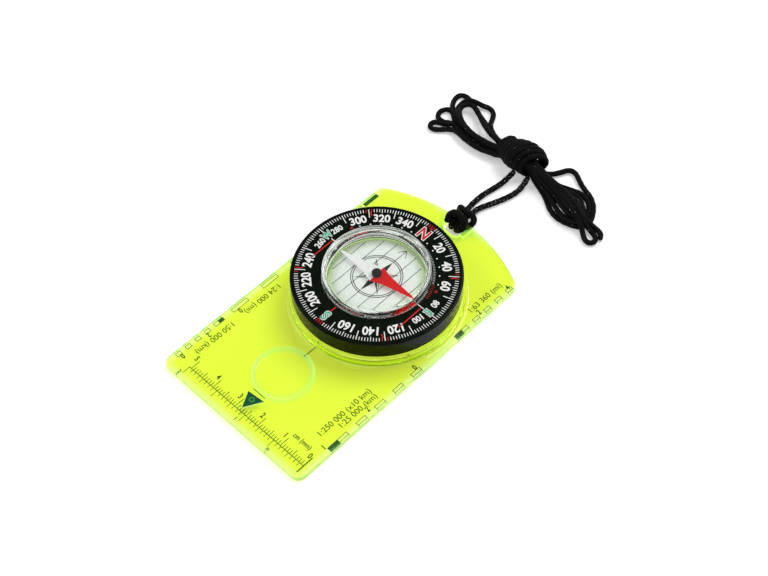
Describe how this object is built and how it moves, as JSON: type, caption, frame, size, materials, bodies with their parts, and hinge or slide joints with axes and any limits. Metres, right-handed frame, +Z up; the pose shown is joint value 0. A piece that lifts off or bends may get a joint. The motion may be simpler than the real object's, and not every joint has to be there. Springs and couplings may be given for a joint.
{
  "type": "baseplate compass",
  "caption": "Clear map compass with turning black degree bezel, liquid capsule, swinging needle, magnifier, edge rulers and a cord lanyard.",
  "frame": {"origin": "on the resting surface, under the middle of the plate's outline, measured without the lanyard", "axes": "+Y along the plate from the ruler end to the lanyard end, +X to the right edge seen from above, +Z up along the turning axis"},
  "size_m": [0.0793, 0.1527, 0.0165],
  "materials": {
    "plate_acrylic": "clear yellow-green moulded acrylic, polished",
    "slip_plastic": "natural, waxy",
    "bezel_black": "polished",
    "ring_green": "clear green moulded acrylic",
    "capsule_clear": "clear, polished; the base's flange under the cover's wall is frosted white",
    "seal_rubber": "milky white silicone",
    "card_white": "translucent, printed",
    "pin_steel": "polished point",
    "needle_lacquer": "one half red, the other white, satin lacquer",
    "bush_brass": "turned",
    "jewel": "polished synthetic ruby",
    "hub_black": "polished",
    "cord_black": "tight braid with a pale fleck"
  },
  "bodies": {
    "plate": {"baseplate": "plate_acrylic", "friction_ring": "slip_plastic", "lanyard_hitch": "cord_black", "lanyard_strand_left": "cord_black", "lanyard_strand_right": "cord_black", "lanyard_knot": "cord_black", "lanyard_hank_left": "cord_black", "lanyard_hank_right": "cord_black"},
    "bezel": {"bezel_ring": "bezel_black", "retaining_ring": "ring_green", "capsule_cover": "capsule_clear", "capsule_base": "capsule_clear", "capsule_seal": "seal_rubber", "dial_card": "card_white", "filler_plug": "slip_plastic", "pivot_pin": "pin_steel"},
    "needle": {"needle_blade": "needle_lacquer", "needle_bush": "bush_brass", "needle_jewel": "jewel", "hub_cap": "hub_black"}
  },
  "joints": [
    {"name": "bezel_turn", "type": "hinge", "parent": "plate", "child": "bezel", "pos_m": [0, 0.01175, 0], "axis": [0, 0, 1], "continuous": true},
    {"name": "needle_swing", "type": "hinge", "parent": "bezel", "child": "needle", "pos_m": [0, 0.01175, 0.0116], "axis": [0, 0, 1], "continuous": true}
  ]
}
